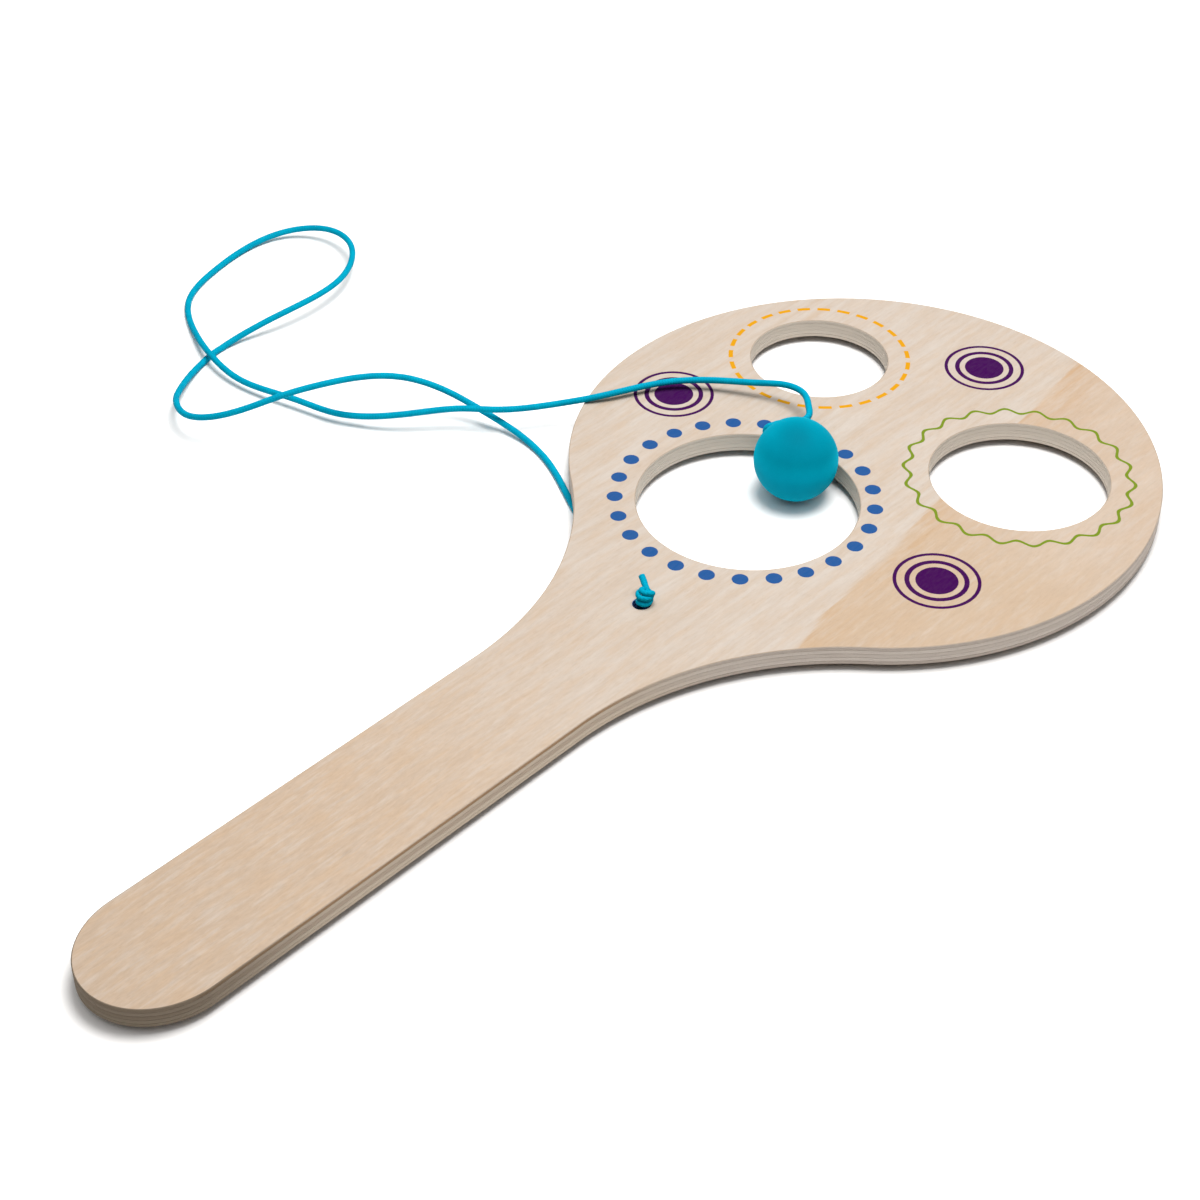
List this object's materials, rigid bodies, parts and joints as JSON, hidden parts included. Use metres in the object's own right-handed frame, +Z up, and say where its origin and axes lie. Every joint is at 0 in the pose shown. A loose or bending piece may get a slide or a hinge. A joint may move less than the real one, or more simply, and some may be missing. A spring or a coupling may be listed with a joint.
{
  "type": "hole paddle game",
  "caption": "Flat plywood paddle with round catching holes in its head, and a small ball tied to its neck by a thin cord, for swinging the ball up through a hole.",
  "frame": {"origin": "on the ground, under the middle of the paddle lying face up", "axes": "+Y from the handle to the head, along the paddle; +X to the right seen from above; +Z up"},
  "size_m": [0.3216, 0.374, 0.0249],
  "materials": {
    "face_veneer": "sanded bare veneer, printed in ink on the face",
    "cross_veneer": "bare cut edge, pale",
    "core_veneer": "bare cut edge, darker",
    "ball_paint": "satin paint on turned wood",
    "cord_dye": "round dyed cord, matt"
  },
  "bodies": {
    "paddle": {"ply_face": "face_veneer", "ply_cross_upper": "cross_veneer", "ply_core": "core_veneer", "ply_cross_lower": "cross_veneer", "ply_back": "face_veneer", "neck_knot": "cord_dye", "cord_run": "cord_dye"},
    "cord_end": {"cord_lead": "cord_dye", "ball_knot": "cord_dye"},
    "ball": {"ball": "ball_paint"}
  },
  "joints": [
    {"name": "ball_lift", "type": "slide", "parent": "paddle", "child": "cord_end", "axis": [0, 0, 1], "range_m": [0, 0.1], "deforming": ["cord_lead"]},
    {"name": "ball_twist", "type": "hinge", "parent": "cord_end", "child": "ball", "pos_m": [-0.01023, 0.0802, 0.0125], "axis": [-0.9448, 0.2532, 0.2079], "range_deg": [-180, 180]}
  ]
}
